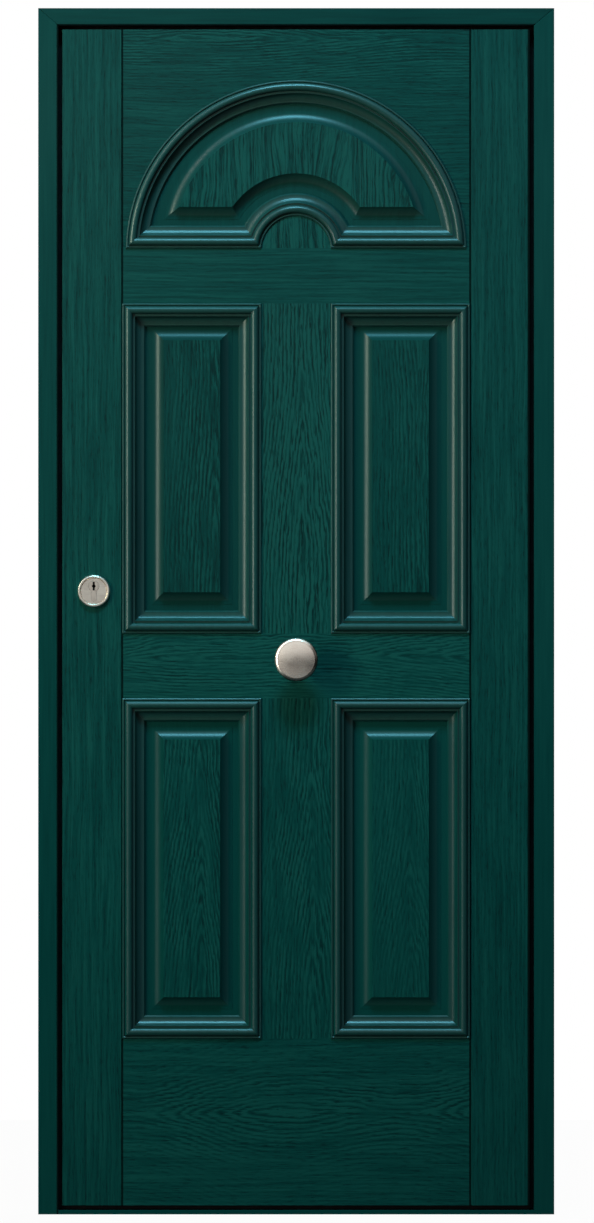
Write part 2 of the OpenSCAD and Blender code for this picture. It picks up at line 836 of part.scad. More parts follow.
module lock_case() {
  color(steel) difference() {
    box([case_x0, lock_y - case_t / 2, plate_z - case_h / 2],
      [case_x0 + case_d, lock_y + case_t / 2, plate_z + case_h / 2]);
    box([case_x0 + case_wall, lock_y - case_t / 2 + case_wall, plate_z - case_h / 2 + case_wall],
      [case_x0 + case_d - case_wall, lock_y + case_t / 2 - case_wall, plate_z + case_h / 2 - case_wall]);
    bolt_ways(case_x0 - 5, slack);
    translate([lock_x, 0, cyl_z]) plate_y(y_face, y_in) euro(slack);
    translate([lock_x, 0, lever_z]) rod_y(spindle_w, y_face, y_in);
  }
}

module lock_faceplate() {
  color(steel) difference() {
    box([-lip_x, lock_y - plate_w / 2, plate_z - plate_h / 2],
      [-lip_x + plate_t, lock_y + plate_w / 2, plate_z + plate_h / 2]);
    bolt_ways(-lip_x - 5, slack);
    faceplate_screw_holes();
  }
}

module faceplate_screws() {
  color(steel) for (s = [-1, 1]) translate([-lip_x, lock_y, plate_z + s * (plate_h / 2 - 12)])
    screw(leaf_screw_l);
}

// The latch bolt: its nose slopes on the side that meets the strike as the door closes
module latch_bolt() {
  half_t = bolt_t / 2;
  color(steel) {
    translate([-lip_x, lock_y, lever_z - latch_h / 2]) linear_extrude(height = latch_h)
      polygon([[22, half_t], [-latch_throw, half_t], [-latch_throw, half_t - 2], [-0.5, -half_t],
        [22, -half_t]]);
    box([-lip_x + 21, lock_y - 3, lever_z - 6], [lock_x - 24, lock_y + 3, lever_z + 6]);
  }
}

// The dead bolt, drawn back
module dead_bolt() {
  color(steel) {
    box([-lip_x + 0.2, lock_y - bolt_t / 2, bolt_z - dead_h / 2],
      [-lip_x + 44, lock_y + bolt_t / 2, bolt_z + dead_h / 2]);
    box([-lip_x + 43, lock_y - 2, bolt_z - 8], [-lip_x + 60, lock_y + 2, bolt_z + 8]);
  }
}

// The follower in the lock case, turned by the spindle
module lever_follower() {
  color(steel) translate([lock_x, 0, lever_z]) difference() {
    union() {
      rod_y(11, lock_y - 4.5, lock_y + 4.5);
      box([-4, lock_y - 3, 0], [4, lock_y + 3, 20]);
    }
    box([-spindle_w / 2 - run, y_face, -spindle_w / 2 - run], [spindle_w / 2 + run, y_in, spindle_w / 2 + run]);
  }
}

module lever_spindle() {
  color(steel) translate([lock_x, 0, lever_z])
    box([-spindle_w / 2, lock_y - 12, -spindle_w / 2], [spindle_w / 2, y_in + 36, spindle_w / 2]);
}

// The inside lever: a neck, an elbow and a round grip towards the hinge side
module lever_handle() {
  color(nickel) translate([lock_x, 0, lever_z]) difference() {
    union() {
      rod_y(neck_r, y_in + 1, grip_y);
      translate([0, grip_y, 0]) sphere(r = neck_r);
      translate([0, grip_y, 0]) rod_x(grip_r, 0, lever_l);
      translate([lever_l, grip_y, 0]) sphere(r = grip_r);
    }
    box([-spindle_w / 2 - run, y_in, -spindle_w / 2 - run], [spindle_w / 2 + run, y_in + 36, spindle_w / 2 + run]);
  }
}

// A round rose standing on the inside face, with an eased rim
module rose(r, h) {
  rotate([-90, 0, 0]) rotate_extrude() polygon([[0, 0], [r, 0], [r, h - 2], [r - 2, h], [0, h]]);
}

module lever_rose() {
  color(nickel) translate([lock_x, y_in, lever_z]) difference() {
    rose(rose_r, rose_h);
    rod_y(neck_r + slack, -5, rose_h + 5);
  }
}

module cylinder_body() {
  color(nickel) difference() {
    translate([lock_x, 0, cyl_z]) plate_y(cyl_y0, cyl_y1) euro();
    translate([lock_x, 0, cyl_z]) {
      rod_y(plug_bore_r, cyl_y0 - 5, cyl_y1 + 5);
      rod_y(cam_r + 0.4, lock_y - cam_t / 2, lock_y + cam_t / 2);
    }
  }
}

// The outside plug with its keyway
module cylinder_plug() {
  color(nickel) translate([lock_x, 0, cyl_z]) difference() {
    rod_y(plug_r, cyl_y0 - 0.3, lock_y - cam_t / 2 - 0.5);
    box([-1.7, cyl_y0 - 5, -7.5], [1.7, cyl_y0 + 22, 7.5]);
    plate_y(cyl_y0 - 5, cyl_y0 + 22) polygon([[-3.7, 0], [0, -4.8], [3.7, 0], [0, 4.8]]);
  }
}

// The inside plug with its cam and thumb turn
module thumb_turn() {
  color(nickel) translate([lock_x, 0, cyl_z]) {
    rod_y(plug_r, lock_y - cam_t / 2 + slack, cyl_y1 + 2);
    box([-3.5, lock_y - cam_t / 2 + slack, 0], [3.5, lock_y + cam_t / 2 - slack, cam_r - 0.6]);
    rod_y(11, cyl_y1 + 1, cyl_y1 + 6);
    intersection() {
      rod_y(13.5, cyl_y1 + 5, cyl_y1 + 24);
      box([-3.5, cyl_y1 + 5, -20], [3.5, cyl_y1 + 24, 20]);
    }
  }
}

// The raised rim of the outside escutcheon
module escutcheon_ring() {
  color(nickel) translate([lock_x, y_face, esc_z]) rotate([90, 0, 0]) rotate_extrude()
    polygon([[esc_disc_r + slack, 0], [esc_r, 0], [esc_r, 2.6], [esc_r - 1.6, esc_h - 0.6],
      [esc_r - 2.4, esc_h], [esc_disc_r + 1.2, esc_h], [esc_disc_r + slack, esc_h - 1]]);
}

// The disc inside the rim, with the opening for the cylinder
module escutcheon_disc() {
  color(nickel) difference() {
    translate([lock_x, y_face, esc_z]) rotate([90, 0, 0]) rotate_extrude()
      polygon([[0, 0], [esc_disc_r, 0], [esc_disc_r, esc_disc_h - 0.8],
        [esc_disc_r - 0.8, esc_disc_h], [0, esc_disc_h]]);
    translate([lock_x, 0, cyl_z]) plate_y(y_face - 20, y_face + 5) euro(slack);
  }
}

module inner_escutcheon() {
  color(nickel) difference() {
    translate([lock_x, y_in, esc_z]) rose(rose_r, inner_esc_h);
    translate([lock_x, 0, cyl_z]) plate_y(y_in - 5, y_in + 20) euro(slack);
  }
}

module knob_rose() {
  color(nickel) translate([0, y_face, knob_z]) difference() {
    rotate([0, 0, 180]) rose(knob_rose_r, knob_rose_h);
    rod_y(knob_bolt_r + slack, -20, 5);
  }
}

// The waisted stem, tapped for the through bolt
module knob_stem() {
  l = knob_stem_l;
  color(nickel) translate([0, y_face - knob_rose_h, knob_z]) difference() {
    rotate([90, 0, 0]) rotate_extrude() difference() {
      square([16, l]);
      translate([16 + l, l / 2]) circle(r = l + 4);
    }
    rod_y(knob_bolt_r + run, -l + 4, 5);
  }
}

// The knob: a coned back, a round rim and a slightly domed face
module knob_head() {
  edge = knob_t / 2;
  face_r = knob_r - edge;
  dome_r = (face_r * face_r + knob_dome * knob_dome) / (2 * knob_dome);
  color(nickel) translate([0, knob_y0, knob_z]) rotate([90, 0, 0]) rotate_extrude() {
    polygon([[0, 0], [16, 0], [face_r, 8], [face_r, 8 + edge], [0, 8 + edge]]);
    translate([face_r, 8 + edge]) circle(r = edge);
    translate([0, 8]) square([face_r, knob_t]);
    intersection() {
      translate([0, 8 + knob_t + knob_dome - dome_r]) circle(r = dome_r);
      translate([0, 8 + edge]) square([face_r, knob_t]);
    }
  }
}

// The bolt from the inside, with a domed head
module knob_bolt() {
  color(nickel) translate([0, 0, knob_z]) {
    rod_y(knob_bolt_r, y_face - knob_rose_h - knob_stem_l + 4, y_in + 1);
    rod_y(12, y_in, y_in + 3);
    translate([0, y_in + 3, 0]) rotate([-90, 0, 0]) cylinder(r1 = 12, r2 = 8, h = 2.5);
  }
}

jamb_left();
jamb_right();
head();
threshold();
strike_plate();
strike_screws();
hinge_jamb_flap_bottom();
hinge_jamb_flap_middle();
hinge_jamb_flap_top();
hinge_pins();
hinge_jamb_screws();
stile_lock();
stile_hinge();
top_rail();
frieze_rail();
lock_rail();
bottom_rail();
muntin_upper();
muntin_lower();
fan_hub();
fan_panel();
panel_upper_left();
panel_upper_right();
panel_lower_left();
panel_lower_right();
moulding_fan();
moulding_upper_left();
moulding_upper_right();
moulding_lower_left();
moulding_lower_right();
inner_bead_fan();
inner_bead_upper_left();
inner_bead_upper_right();
inner_bead_lower_left();
inner_bead_lower_right();
perimeter_seal();
bottom_seal();
hinge_leaf_flap_bottom();
hinge_leaf_flap_middle();
hinge_leaf_flap_top();
hinge_leaf_screws();
lock_case();
lock_faceplate();
faceplate_screws();
latch_bolt();
dead_bolt();
lever_follower();
lever_spindle();
lever_handle();
lever_rose();
cylinder_body();
cylinder_plug();
thumb_turn();
escutcheon_ring();
escutcheon_disc();
inner_escutcheon();
knob_rose();
knob_stem();
knob_head();
knob_bolt();
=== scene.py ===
"""Finishes for a panelled front door in its frame: grained paint, satin nickel, steel, rubber, and a plain
studio round it."""

import math

import bpy
from bpy.props import FloatProperty, FloatVectorProperty, PointerProperty
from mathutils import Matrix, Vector


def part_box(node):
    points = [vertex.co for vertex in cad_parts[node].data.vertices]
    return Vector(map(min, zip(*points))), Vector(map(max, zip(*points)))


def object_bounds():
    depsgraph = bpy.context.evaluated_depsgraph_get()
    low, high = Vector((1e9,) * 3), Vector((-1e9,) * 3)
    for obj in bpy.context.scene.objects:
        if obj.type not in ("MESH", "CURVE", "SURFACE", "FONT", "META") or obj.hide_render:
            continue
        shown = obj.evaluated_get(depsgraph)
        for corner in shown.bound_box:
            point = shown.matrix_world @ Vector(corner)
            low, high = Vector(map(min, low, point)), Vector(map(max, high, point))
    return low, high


bl_info = {
    "name": "Panelled Front Door",
    "version": (1, 0, 0),
    "blender": (4, 5, 0),
    "location": "View3D > Sidebar > Door",
    "description": "Paints and furnishes a panelled front door in its frame",
    "category": "Object",
}

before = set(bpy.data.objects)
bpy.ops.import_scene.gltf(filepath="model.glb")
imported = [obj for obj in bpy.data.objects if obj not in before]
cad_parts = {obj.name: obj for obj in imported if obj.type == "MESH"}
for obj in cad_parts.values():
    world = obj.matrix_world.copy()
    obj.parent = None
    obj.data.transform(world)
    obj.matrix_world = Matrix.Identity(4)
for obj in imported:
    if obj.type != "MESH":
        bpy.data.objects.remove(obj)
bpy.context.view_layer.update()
LOW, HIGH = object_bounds()
LOW_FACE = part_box("head")[0].y

STILES = ("stile_lock", "stile_hinge")
RAILS = ("top_rail", "frieze_rail", "lock_rail", "bottom_rail")
MUNTINS = ("muntin_upper", "muntin_lower", "fan_hub")
PANELS = ("fan_panel", "panel_upper_left", "panel_upper_right", "panel_lower_left", "panel_lower_right")
MOULDINGS = ("moulding_fan", "moulding_upper_left", "moulding_upper_right", "moulding_lower_left",
             "moulding_lower_right")
BEADS = ("inner_bead_fan", "inner_bead_upper_left", "inner_bead_upper_right", "inner_bead_lower_left",
         "inner_bead_lower_right")
HINGE_FLAPS = ("hinge_jamb_flap_bottom", "hinge_jamb_flap_middle", "hinge_jamb_flap_top",
               "hinge_leaf_flap_bottom", "hinge_leaf_flap_middle", "hinge_leaf_flap_top")

# How each member was cut from its log. "across" and "start" are where the heart of the figure lies on the
# member, "rings" how many growth rings there are to a metre across, "climb" and "swell" how the rings rise
# along the grain, "pitch" how often they swell, and "tone" how pale the paint dried on it. "streak" and
# "pores" are how strong the streaks and pores are, "wander" how much they wander, and the gap key is where
# the shade painted along the gap starts and where it is full.
CUTS = {
    "stile_lock": dict(along="Z", seed=1.7, streak=1.0, pores=0.70, wander=0.9),
    "stile_hinge": dict(along="Z", seed=5.9, streak=0.85, pores=0.70, wander=0.9,
                        gap_shade=(0.3810, 0.3830)),
    "top_rail": dict(along="X", seed=9.1, tone=-0.12, streak=1.2, pores=0.65, wander=1.2,
                     across=2.03, start=0.05, rings=190, climb=6, swell=1.6, pitch=9),
    "frieze_rail": dict(along="X", seed=12.4, streak=0.95, pores=0.45, wander=0.6),
    "lock_rail": dict(along="X", seed=15.2, tone=0.26, streak=1.35, pores=0.45, wander=1.1,
                      across=0.95, start=-0.05, rings=170, climb=-11, swell=1.5, pitch=10),
    "bottom_rail": dict(along="X", seed=18.8, tone=0.18, streak=1.4, pores=0.85, wander=0.9,
                        across=0.157, start=-0.16, rings=115, climb=-9, swell=-2.4, pitch=13),
    "muntin_upper": dict(along="Z", seed=21.5, tone=0.18, streak=2.0, pores=0.9, wander=1.0,
                         across=-0.012, start=1.3, rings=150, climb=11, swell=0.8, pitch=12),
    "muntin_lower": dict(along="Z", seed=25.3, tone=0.08, streak=1.2, pores=0.75, wander=1.0,
                         across=0.008, start=0.6, rings=150, climb=17, swell=1.4, pitch=10),
    "fan_hub": dict(along="Z", seed=28.6, streak=2.4, pores=1.1, wander=3.2),
    "fan_panel": dict(along="Z", seed=31.2, tone=-0.16, streak=2.4, pores=1.2, wander=3.0),
    "panel_upper_left": dict(along="Z", seed=34.9, tone=-0.3, streak=1.1, pores=0.70, wander=1.3,
                             across=-0.165, start=1.3, rings=150, climb=6, swell=0.7, pitch=11),
    "panel_upper_right": dict(along="Z", seed=38.1, tone=-0.1, streak=0.75, pores=0.70, wander=1.3,
                              across=0.19, start=1.25, rings=150, climb=-6, swell=0.8, pitch=10),
    "panel_lower_left": dict(along="Z", seed=41.7, tone=-0.02, streak=1.1, pores=0.65, wander=1.1,
                             across=-0.19, start=0.6, rings=150, climb=16, swell=1.6, pitch=9),
    "panel_lower_right": dict(along="Z", seed=45.5, tone=0.2, streak=0.70, pores=0.65, wander=1.1,
                              across=0.175, start=0.55, rings=150, climb=15, swell=1.9, pitch=9),
}

# Levels on a raised panel, from front to back: its field gives way to the bevel, and the bevel to the flat
FIELD_EDGE = (-0.0305, -0.0298)
BEVEL_FOOT = (-0.0179, -0.0192)

# Heights between which light is painted in, paler towards the top, and between which shade is painted in,
# darker towards the ground; the painted light grows from the right edge of the frame to the left one
PAINTED_LIGHT_HEIGHTS = (0.3, 2.1)
PAINTED_SHADE_HEIGHTS = (1.3, 0.0)
PAINTED_LIGHT_SIDE = (0.45, -0.45)

# Slopes that lose their sheen, by how far they face left or up, and the heights where they lose it: the
# left ones low down, the upward ones between two heights
LEFT_SLOPE = (-0.12, -0.34)
SKY_SLOPE = (0.12, 0.34)
DULL_LOW = (1.02, 0.80)
DULL_FROM = (0.93, 0.98)
DULL_UP_TO = (1.66, 1.61)

# Colour of the shade painted along the gaps, in the joints, on the top of the threshold, in the keyway, on
# the knob's rim and on moulding slopes, and where it starts and where it is full: beside a joint, on the
# jamb, on the head, on the threshold, and from the inside of the door outwards
PAINTED_SHADE = (0.0004, 0.0010, 0.0010, 1.0)
JOINT_SHADE = (0.0026, 0.0008)
JAMB_SHADE = (-0.4186, -0.4172)
HEAD_SHADE = (2.0772, 2.0758)
THRESHOLD_SHADOW = (0.0068, 0.0084)
GAP_SHADE_DEPTH = (0.030, 0.020)

# How far behind the plug's face the shade painted in the keyway starts, and over what depth it fills
KEYWAY_START = 0.0003
KEYWAY_FADE = 0.0006

# On the knob, out from its axis: where the rim begins, how softly the shade painted on its lower right
# comes in, and where the middle ends
KNOB_RIM = (0.0314, 0.0330)
KNOB_SHADE_SIDE = (-0.014, 0.014)
KNOB_MIDDLE = (0.0037, 0.0035)

# The floor's side and the hairline under the threshold, the camera's sensor in millimetres, and the
# strength of the surroundings where they only give light
FLOOR_SIDE = 4.4
FLOOR_GAP = 0.0004
SENSOR = 36.0
AMBIENT = 0.08

# For each lamp, where it stands, how far above the middle of the door it aims, its width and height, and
# its colour
LAMPS = {
    "key": ((-4.2, -3.6, 5.6), 0.2, (1.0, 1.0), (1.0, 0.98, 0.94)),
    "sky": ((-0.2, -2.8, 6.2), 0.0, (1.7, 1.0), (0.20, 0.76, 1.0)),
    "flank": ((-4.5, -3.0, 2.4), 0.0, (0.7, 1.3), (0.86, 1.0, 0.74)),
    "fill": ((-4.4, -4.4, 0.5), 0.0, (1.6, 1.5), (1.0, 0.97, 0.92)),
    "back": ((2.4, 4.2, 3.4), 0.0, (1.6, 1.6), (1.0, 0.98, 0.95)),
}


class DoorPaint(bpy.types.PropertyGroup):
    """Colours of the painted timber."""
    ground: FloatVectorProperty(
        name="Paint", description="Body colour of the paint", subtype="COLOR", size=3, min=0, max=1,
        default=(0.0010, 0.0360, 0.0308))
    # The pore colour also serves as the shade painted in towards the ground
    pore: FloatVectorProperty(
        name="Pores", description="Colour of the paint in the pores of the grain", subtype="COLOR",
        size=3, min=0, max=1, default=(0.0002, 0.0140, 0.0130))
    ridge: FloatVectorProperty(
        name="Ridges", description="Colour of the paint on the ridges of the grain", subtype="COLOR",
        size=3, min=0, max=1, default=(0.0062, 0.0630, 0.0510))
    # Colour of the light painted in towards the top left, also used for the threshold's worn scratches
    painted_light_and_wear: FloatVectorProperty(
        name="Faded", description="Colour of the paint where the weather has faded it", subtype="COLOR",
        size=3, min=0, max=1, default=(0.0265, 0.0455, 0.0360))
    sill: FloatVectorProperty(
        name="Threshold", description="Body colour of the threshold", subtype="COLOR", size=3, min=0,
        max=1, default=(0.0012, 0.0300, 0.0270))
    shine: FloatProperty(
        name="Shine", description="Strength of the sheen on mouldings and bevels", subtype="FACTOR",
        min=0, max=1, default=0.58)
    gloss: FloatProperty(
        name="Roughness", description="Roughness of the smooth paint", subtype="FACTOR", min=0, max=1,
        default=0.30)


class DoorGrain(bpy.types.PropertyGroup):
    """Sizes of the grain that shows through the paint."""
    pore_width: FloatProperty(
        name="Pore width", description="Width of a pore", unit="LENGTH", min=0.0004, max=0.01,
        default=0.0017)
    pore_length: FloatProperty(
        name="Pore length", description="Length of a pore", unit="LENGTH", min=0.005, max=0.3,
        default=0.020)
    streak_width: FloatProperty(
        name="Streak width", description="Width of a streak", unit="LENGTH", min=0.001, max=0.05,
        default=0.0040)
    streak_length: FloatProperty(
        name="Streak length", description="Length of a streak", unit="LENGTH", min=0.02, max=1,
        default=0.16)
    relief: FloatProperty(
        name="Relief", description="Depth of the grain under the paint", unit="LENGTH", min=0, max=0.002,
        default=0.00035)


class DoorMetal(bpy.types.PropertyGroup):
    """Colours of the metal and rubber pieces."""
    nickel: FloatVectorProperty(
        name="Nickel", description="Colour of the satin nickel", subtype="COLOR", size=3, min=0, max=1,
        default=(0.92, 0.79, 0.69))
    steel: FloatVectorProperty(
        name="Steel", description="Colour of the hinges and the lock", subtype="COLOR", size=3, min=0,
        max=1, default=(0.50, 0.51, 0.53))
    rubber: FloatVectorProperty(
        name="Rubber", description="Colour of the seals", subtype="COLOR", size=3, min=0, max=1,
        default=(0.0022, 0.0023, 0.0026))


class DoorStage(bpy.types.PropertyGroup):
    """Camera, lamps and floor."""
    distance: FloatProperty(
        name="Camera distance", description="From the face of the frame to the camera", unit="LENGTH",
        min=2, max=60, default=12)
    height: FloatProperty(
        name="Camera height", description="Height of the camera", unit="LENGTH", min=0, max=4,
        default=1.0516)
    side: FloatProperty(
        name="Camera offset", description="How far the camera stands to the right", unit="LENGTH",
        min=-1, max=1, default=0.0014)
    reach: FloatProperty(
        name="View height", description="Height that the image covers at the door", unit="LENGTH",
        min=1, max=6, default=2.1332)
    key: FloatProperty(
        name="Key lamp", description="Power of the lamp at the upper left", unit="POWER", min=0,
        max=4000, default=50)
    sky: FloatProperty(
        name="Top lamp", description="Power of the cool lamp overhead", unit="POWER", min=0, max=4000,
        default=420)
    flank: FloatProperty(
        name="Side lamp", description="Power of the greenish lamp at the left", unit="POWER", min=0,
        max=4000, default=165)
    fill: FloatProperty(
        name="Fill lamp", description="Power of the low lamp in front", unit="POWER", min=0, max=4000,
        default=100)
    back: FloatProperty(
        name="Back lamp", description="Power of the lamp behind the door", unit="POWER", min=0, max=4000,
        default=260)
    floor: FloatVectorProperty(
        name="Floor", description="Colour of the floor", subtype="COLOR", size=3, min=0, max=1,
        default=(0.09, 0.09, 0.09))


class Tap:
    """The value at one socket, which takes part in Python sums."""

    def __init__(self, recipe, socket):
        self.recipe = recipe
        self.socket = socket

    def also(self, name):
        """Another output of the same node."""
        return Tap(self.recipe, self.socket.node.outputs[name])

    def sum(self, operation, *values):
        """A Math node on these values."""
        return self.recipe.node("ShaderNodeMath", {"operation": operation}, dict(enumerate(values)))

    def __add__(self, other):
        return self.sum("ADD", self, other)

    def __radd__(self, other):
        return self.sum("ADD", other, self)

    def __sub__(self, other):
        return self.sum("SUBTRACT", self, other)

    def __rsub__(self, other):
        return self.sum("SUBTRACT", other, self)

    def __mul__(self, other):
        return self.sum("MULTIPLY", self, other)

    def __rmul__(self, other):
        return self.sum("MULTIPLY", other, self)

    def __truediv__(self, other):
        return self.sum("DIVIDE", self, other)

    def __rtruediv__(self, other):
        return self.sum("DIVIDE", other, self)

    def __pow__(self, other):
        return self.sum("POWER", self, other)

    def __rpow__(self, other):
        return self.sum("POWER", other, self)

    def __abs__(self):
        return self.sum("ABSOLUTE", self)

    def sin(self):
        """The sine of this value."""
        return self.sum("SINE", self)

    def root(self):
        """The square root of this value."""
        return self.sum("SQRT", self)

    def step(self, low, high, to_low=0.0, to_high=1.0):
        """A smooth step from to_low at low to to_high at high."""
        return self.recipe.node(
            "ShaderNodeMapRange", {"interpolation_type": "SMOOTHSTEP", "clamp": True},
            {"Value": self, "From Min": low, "From Max": high, "To Min": to_low, "To Max": to_high})

    def limit(self, low=0.0, high=1.0):
        """This value, kept between low and high."""
        return self.recipe.node("ShaderNodeClamp", {}, {"Value": self, "Min": low, "Max": high})


class Recipe:
    """The nodes of one finish."""

    def __init__(self, tree):
        self.tree = tree
        tree.nodes.clear()

    def node(self, kind, settings, sockets, out=0):
        """Adds a node, sets it up and returns one of its outputs."""
        made = self.tree.nodes.new(kind)
        for key, value in settings.items():
            setattr(made, key, value)
        for key, value in sockets.items():
            if isinstance(value, Tap):
                self.tree.links.new(value.socket, made.inputs[key])
            else:
                made.inputs[key].default_value = value
        return Tap(self, made.outputs[out]) if made.outputs else None

    def place(self):
        """Object coordinates as three values."""
        point = self.node("ShaderNodeTexCoord", {}, {}, "Object")
        x = self.node("ShaderNodeSeparateXYZ", {}, {0: point}, "X")
        return x, x.also("Y"), x.also("Z")

    def facing(self):
        """How far the surface faces right, and how far it faces up."""
        way = self.node("ShaderNodeTexCoord", {}, {}, "Normal")
        right = self.node("ShaderNodeSeparateXYZ", {}, {0: way}, "X")
        return right, right.also("Z")

    def lasting(self, z):
        """How much sheen is left on slopes that face left low down, or face the sky halfway up."""
        right, up = self.facing()
        low = right.step(*LEFT_SLOPE) * z.step(*DULL_LOW) * 0.85
        halfway = up.step(*SKY_SLOPE) * z.step(*DULL_FROM) * z.step(*DULL_UP_TO) * 0.6
        return (1.0 - low) * (1.0 - halfway)

    def point(self, x, y, z):
        """A vector of three values."""
        return self.node("ShaderNodeCombineXYZ", {}, {0: x, 1: y, 2: z})

    def noise(self, point, detail=2.0, roughness=0.5):
        """Noise that runs from 0 to 1."""
        return self.node("ShaderNodeTexNoise", {"noise_dimensions": "3D"},
                         {"Vector": point, "Scale": 1.0, "Detail": detail, "Roughness": roughness})

    def tint(self, amount, first, second):
        """A colour between two colours."""
        return self.node("ShaderNodeMix", {"data_type": "RGBA"}, {0: amount, 6: first, 7: second}, 2)

    def relief(self, height, depth):
        """A normal from a height that runs from 0 to 1."""
        return self.node("ShaderNodeBump", {}, {"Strength": 1.0, "Distance": depth, "Height": height})

    def surface(self, varied, fixed):
        """The shader and the output; varied holds what changes over the surface."""
        shader = self.node("ShaderNodeBsdfPrincipled", {}, {**varied, **fixed})
        self.node("ShaderNodeOutputMaterial", {}, {"Surface": shader})


def new_material(name):
    """A material with an empty recipe."""
    material = bpy.data.materials.new(name)
    material.use_nodes = True
    return material, Recipe(material.node_tree)


def opaque(colour):
    """A colour with its alpha."""
    return (*colour, 1.0)


def grain_and_painted_light(r, x, z, level, cloud, lift, light_amount):
    """The paint's colour from the pores to the ridges, with painted light high up and painted shade low
    down.

    Level is where it lies in the grain, lift how pale the ridges are and the last how much light is
    painted.
    """
    paint = bpy.context.scene.door_paint
    body = r.tint((level * -1.0).limit(), opaque(paint.ground), opaque(paint.pore))
    lit = r.tint(level.limit() * lift, body, opaque(paint.ridge))
    # Light painted in: paler towards the top, and more so on the left
    painted_light = z.step(*PAINTED_LIGHT_HEIGHTS) * (x.step(*PAINTED_LIGHT_SIDE) * 0.3 + 0.7) * (cloud * 0.8 + 0.2)
    lightened = r.tint((painted_light * light_amount).limit(), lit, opaque(paint.painted_light_and_wear))
    # Shade painted in: darker towards the ground
    return r.tint(z.step(*PAINTED_SHADE_HEIGHTS) * 0.36, lightened, opaque(paint.pore))


def grained_paint(name, along, seed, streak, pores, wander, across=0.0, start=0.0, rings=0.0, climb=0.0,
                  swell=0.0, pitch=0.0, tone=0.0, gap_shade=None, joint=None, raised=False):
    """Paint over open-grained timber, with the figure of one member.

    A raised panel is smooth round its field, and joint is how far from the middle the stiles begin.
    """
    paint = bpy.context.scene.door_paint
    grain = bpy.context.scene.door_grain
    material, r = new_material(name)
    x, y, z = r.place()
    run, side = (z, x) if along == "Z" else (x, z)
    side = side + y * 0.7
    drift = r.noise(r.point(side * 9.0, run * 3.1, y * 5.0 + seed), 2.0) - 0.5
    ripple = r.noise(r.point(side * 60.0, run * 14.0, y * 30.0 + seed), 2.0) - 0.5
    waved = side + drift * (0.022 * wander) + ripple * (0.0032 * wander)
    streaks = r.noise(r.point(waved / grain.streak_width, run / grain.streak_length, y * 40.0 + seed),
                      4.0, 0.62)
    pore = r.noise(r.point(waved / grain.pore_width, run / grain.pore_length, y * 90.0 + seed), 2.0, 0.6)
    patch = r.noise(r.point(side * 30.0, run * 9.0, y * 20.0 + seed * 2.0), 3.0, 0.6)
    slits = pore.step(0.52, 0.66)
    late = streaks
    if rings:
        reach = ((waved - across) ** 2.0 + 0.000016).root()
        turns = reach * rings + (run - start) * climb + ((run - start) * pitch).sin() * swell
        turns = turns + (pore - 0.5) * 1.2 + drift * 2.6 + ripple * 1.7
        line = (turns * (2.0 * math.pi)).sin() * 0.5 + 0.5
        gathered = patch.step(0.30, 0.62, 0.1, 1.0) * reach.step(0.10, 0.03, 0.2, 1.0)
        late = streaks * 0.62 + line * 0.38 * gathered + (1.0 - gathered) * 0.16
    broad = r.noise(r.point(x * 2.3, y * 2.3 + seed, z * 1.4), 2.0)
    porous = slits * (1.35 - late * 1.3).limit()
    plain = y.step(*FIELD_EDGE) if raised else 0.0
    bevel = plain * y.step(*BEVEL_FOOT) * r.lasting(z) if raised else 0.0
    open_grain = 1.0 - plain * 0.88
    level = (late - 0.44) * (4.0 * streak) - porous * (1.2 * pores) + (patch - 0.5) * 0.5
    level = level * open_grain + (broad - 0.5) * 0.3 + tone
    colour = grain_and_painted_light(r, x, z, level, broad, 0.9, 0.34)
    # Shade painted along the edge that faces the gap, fading out towards the inside of the door
    if gap_shade:
        colour = r.tint(side.step(*gap_shade) * y.step(*GAP_SHADE_DEPTH) * 0.9, colour, PAINTED_SHADE)
    # Shade painted in the groove where the stiles meet the rails
    if joint:
        colour = r.tint(abs(abs(x) - joint).step(*JOINT_SHADE) * 0.85, colour, PAINTED_SHADE)
    rough = (0.42 + porous * 0.16 - level * 0.10 + (broad - 0.5) * 0.08).limit(0.28, 0.8)
    height = (0.55 + level * 0.30 - porous * open_grain * (0.30 * pores)).limit()
    r.surface({"Base Color": colour, "Roughness": rough, "Normal": r.relief(height, grain.relief),
               "Coat Weight": bevel * (paint.shine * 0.72)},
              {"Specular IOR Level": 0.03, "Coat Roughness": 0.34})
    return material


def smooth_paint(name, seed, along, dim=0.0, shine=0.0, gap_shade=None, slope_shade=0.0):
    """Sprayed satin paint on close-grained timber; the last argument paints shade on down and right slopes.
    """
    paint = bpy.context.scene.door_paint
    material, r = new_material(name)
    x, y, z = r.place()
    run, side = (z, x) if along == "Z" else (x, z)
    cloud = r.noise(r.point(x * 3.0, y * 3.0 + seed, z * 2.0), 3.0)
    fibre = r.noise(r.point(side * 210.0, run * 7.0, y * 210.0 + seed), 3.0, 0.6)
    peel = r.noise(r.point(x * 520.0, y * 520.0 + seed, z * 520.0), 1.0)
    level = (cloud - 0.5) * 0.8 + (fibre - 0.5) * 1.3 - dim
    colour = grain_and_painted_light(r, x, z, level, cloud, 0.6, 0.30)
    # Shade painted along the edge of the jamb or head that faces the gap
    if gap_shade:
        colour = r.tint(side.step(*gap_shade) * 0.9, colour, PAINTED_SHADE)
    # Shade painted on slopes that face down and right
    if slope_shade:
        right, up = r.facing()
        colour = r.tint((right - up).step(0.45, 1.2) * slope_shade, colour, PAINTED_SHADE)
    rough = (paint.gloss + (cloud - 0.5) * 0.12 + (fibre - 0.5) * 0.10).limit(0.2, 0.7)
    height = (fibre * 0.5 + peel * 0.5).limit()
    r.surface({"Base Color": colour, "Roughness": rough, "Normal": r.relief(height, 0.00012),
               "Coat Weight": r.lasting(z) * shine},
              {"Specular IOR Level": 0.04, "Coat Roughness": 0.33})
    return material


